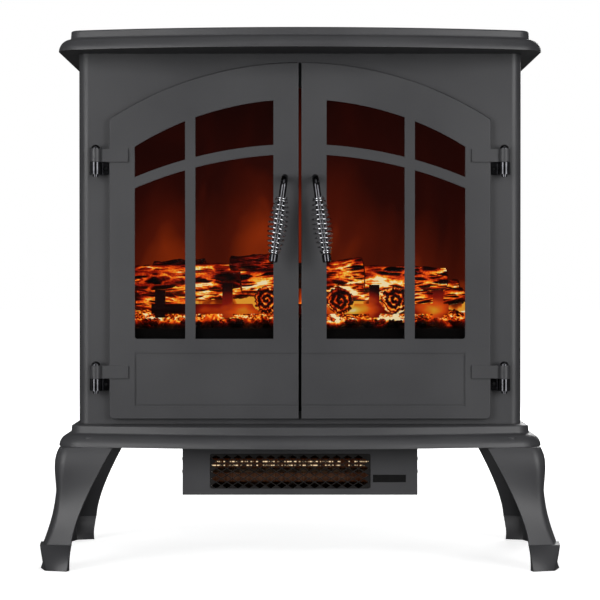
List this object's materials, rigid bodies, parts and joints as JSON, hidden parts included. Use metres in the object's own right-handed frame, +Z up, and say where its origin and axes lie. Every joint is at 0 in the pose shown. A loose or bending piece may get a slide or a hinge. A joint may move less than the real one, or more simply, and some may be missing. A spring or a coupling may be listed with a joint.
{
  "type": "electric fireplace",
  "caption": "Freestanding electric stove heater with a bowed top, arched glazed double doors over a log-fire display, cabriole legs and a quartz fan heater under the plinth.",
  "frame": {"origin": "on the floor under the middle of the stove's bounding box", "axes": "+Z up, doors face -Y, +X to the viewer's right"},
  "size_m": [0.598, 0.306, 0.62],
  "materials": {
    "charcoal_coat": "matt powder coat with a fine grain",
    "black_sheet": "matt black paint",
    "zinc_sheet": "zinc-plated",
    "bolt_steel": "plain steel",
    "black_screw": "black oxide",
    "dark_chrome": "dark polished",
    "bright_chrome": "polished",
    "door_glass": "clear tempered",
    "flame_screen": "translucent, lit from behind",
    "log_resin": "moulded charred wood with a glow",
    "ember_resin": "translucent embers lit from below",
    "grate_black": "matt black",
    "panel_plastic": "satin black",
    "button_plastic": "soft matt",
    "circuit_board": "solder mask",
    "motor_steel": "dark",
    "spindle_foil": "bright",
    "wheel_aluminium": "plain",
    "mesh_black": "satin black",
    "quartz": "quartz, lit",
    "ceramic": "unglazed",
    "reflector_foil": "polished, warm from the lamps",
    "cutout_plastic": "phenolic",
    "magnet_plastic": "moulded case",
    "gland_rubber": "matt",
    "label_black": "blank"
  },
  "bodies": {
    "stove": {"back_cover": "black_sheet", "base_plinth": "charcoal_coat", "blower_housing": "zinc_sheet", "blower_motor": "motor_steel", "button_board": "circuit_board", "casing_floor": "zinc_sheet", "control_panel": "panel_plastic", "cord_gland": "gland_rubber", "door_magnet": "magnet_plastic", "ember_bed": "ember_resin", "ember_led_board": "circuit_board", "fire_grate": "grate_black", "firebox_liner": "black_sheet", "flame_led_board": "circuit_board", "flame_screen": "flame_screen", "flicker_bracket": "zinc_sheet", "flicker_motor": "motor_steel", "heater_grille": "mesh_black", "heater_housing": "charcoal_coat", "hinge_brackets": "dark_chrome", "hinge_pins": "dark_chrome", "label_plate": "label_black", "leg_bolts": "bolt_steel", "leg_front_left": "charcoal_coat", "leg_front_right": "charcoal_coat", "leg_rear_left": "charcoal_coat", "leg_rear_right": "charcoal_coat", "log_set": "log_resin", "lower_fascia": "black_sheet", "main_board": "circuit_board", "outer_casing": "charcoal_coat", "panel_screws": "black_screw", "quartz_tubes": "quartz", "reflector": "reflector_foil", "thermal_cutout": "cutout_plastic", "top_plate": "charcoal_coat", "tube_holders": "ceramic"},
    "left_door": {"door_left_clips": "zinc_sheet", "door_left_glass": "door_glass", "door_left_handle_nut": "bolt_steel", "door_left_handle_rod": "dark_chrome", "door_left_handle_spring": "bright_chrome", "door_left_handle_tip": "dark_chrome", "door_left_panel": "charcoal_coat", "door_left_straps": "charcoal_coat"},
    "right_door": {"door_right_clips": "zinc_sheet", "door_right_glass": "door_glass", "door_right_handle_nut": "bolt_steel", "door_right_handle_rod": "dark_chrome", "door_right_handle_spring": "bright_chrome", "door_right_handle_tip": "dark_chrome", "door_right_panel": "charcoal_coat", "door_right_straps": "charcoal_coat"},
    "flicker": {"flicker_spindle": "spindle_foil"},
    "blower": {"blower_wheel": "wheel_aluminium"},
    "power_key": {"power_button": "button_plastic"},
    "flame_key": {"flame_button": "button_plastic"},
    "heat_key": {"heat_button": "button_plastic"},
    "timer_key": {"timer_button": "button_plastic"}
  },
  "joints": [
    {"name": "left_door_hinge", "type": "hinge", "parent": "stove", "child": "left_door", "pos_m": [-0.2377, -0.0895, 0.34], "axis": [0, 0, -1], "range_deg": [0, 120]},
    {"name": "right_door_hinge", "type": "hinge", "parent": "stove", "child": "right_door", "pos_m": [0.2377, -0.0895, 0.34], "axis": [0, 0, 1], "range_deg": [0, 120]},
    {"name": "flicker_spin", "type": "hinge", "parent": "stove", "child": "flicker", "pos_m": [0, 0.062, 0.29], "axis": [1, 0, 0], "continuous": true},
    {"name": "blower_spin", "type": "hinge", "parent": "stove", "child": "blower", "pos_m": [0, 0.018, 0.11], "axis": [1, 0, 0], "continuous": true},
    {"name": "power_press", "type": "slide", "parent": "stove", "child": "power_key", "axis": [0, 1, 0], "range_m": [0, 0.001], "stiffness_N_per_m": 400},
    {"name": "flame_press", "type": "slide", "parent": "stove", "child": "flame_key", "axis": [0, 1, 0], "range_m": [0, 0.001], "stiffness_N_per_m": 400},
    {"name": "heat_press", "type": "slide", "parent": "stove", "child": "heat_key", "axis": [0, 1, 0], "range_m": [0, 0.001], "stiffness_N_per_m": 400},
    {"name": "timer_press", "type": "slide", "parent": "stove", "child": "timer_key", "axis": [0, 1, 0], "range_m": [0, 0.001], "stiffness_N_per_m": 400}
  ]
}
